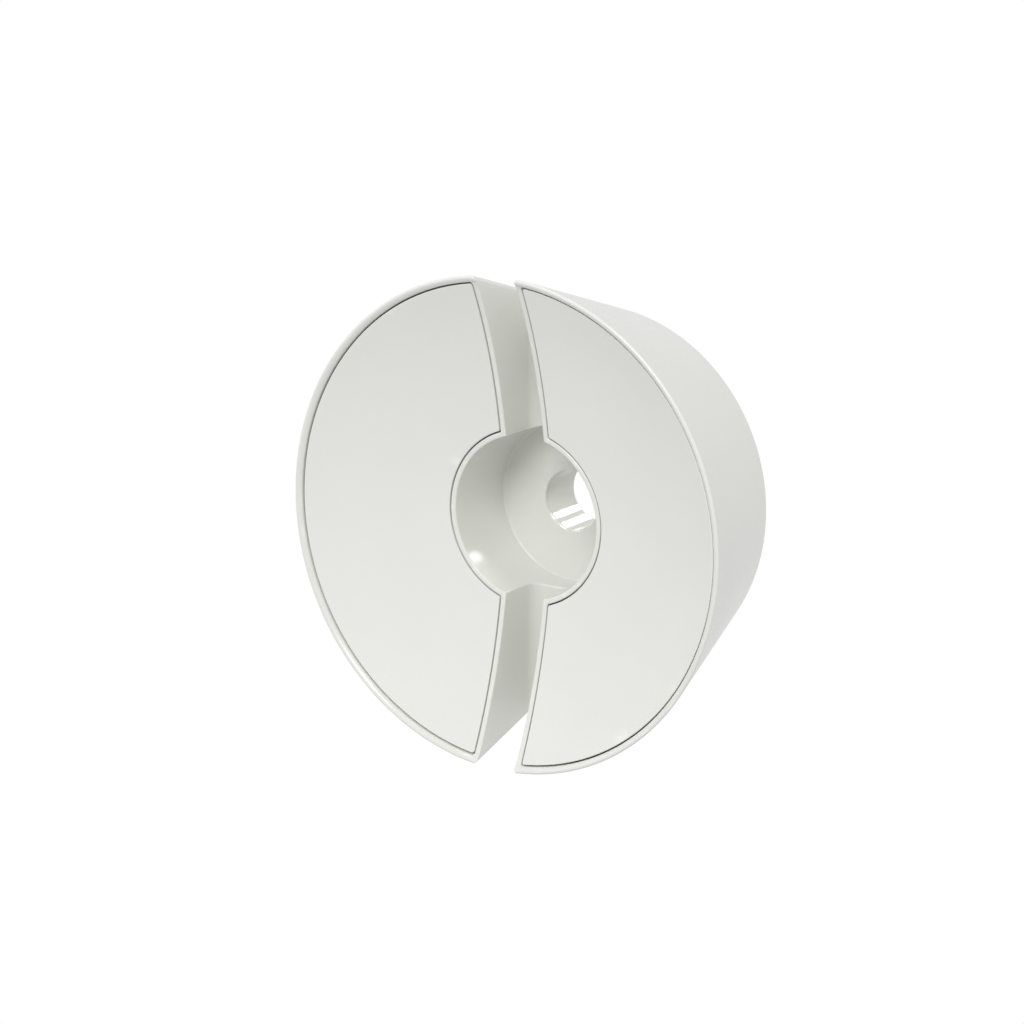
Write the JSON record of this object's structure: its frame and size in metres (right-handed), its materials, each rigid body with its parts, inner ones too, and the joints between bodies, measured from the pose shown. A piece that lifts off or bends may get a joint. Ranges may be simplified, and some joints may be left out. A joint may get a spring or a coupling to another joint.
{
  "type": "desk grommet",
  "caption": "Round tapered desk grommet with a dished front, a cable slot across it, a central cable cup with a through bore, and lift-off half-moon covers.",
  "frame": {"origin": "centre of the base pad's lower face, on the bore's axis", "axes": "+Z along the bore and out of the dished front, Y along the cable slot, X across the slot"},
  "size_m": [0.1, 0.0994, 0.0402],
  "materials": {
    "housing_plastic": "off-white, satin gloss moulding",
    "cover_plastic": "off-white, satin",
    "sleeve_plastic": "off-white, polished",
    "plate_steel": "zinc plated",
    "screw_steel": "zinc plated",
    "socket_rubber": "black, matte",
    "pad_rubber": "dark grey, matte"
  },
  "bodies": {
    "body": {"housing": "housing_plastic", "bore_sleeve": "sleeve_plastic", "back_plate": "plate_steel", "base_pad": "pad_rubber", "left_plate_screw_1": "screw_steel", "left_plate_screw_2": "screw_steel", "right_plate_screw_1": "screw_steel", "right_plate_screw_2": "screw_steel", "left_washer_1": "screw_steel", "left_washer_2": "screw_steel", "right_washer_1": "screw_steel", "right_washer_2": "screw_steel", "left_peg_socket_1": "socket_rubber", "left_peg_socket_2": "socket_rubber", "left_peg_socket_3": "socket_rubber", "right_peg_socket_1": "socket_rubber", "right_peg_socket_2": "socket_rubber", "right_peg_socket_3": "socket_rubber"},
    "left_lid": {"left_cover": "cover_plastic"},
    "right_lid": {"right_cover": "cover_plastic"}
  },
  "joints": [
    {"name": "left_cover_lift", "type": "slide", "parent": "body", "child": "left_lid", "axis": [0, 0, 1], "range_m": [0, 0.03]},
    {"name": "right_cover_lift", "type": "slide", "parent": "body", "child": "right_lid", "axis": [0, 0, 1], "range_m": [0, 0.03]}
  ]
}
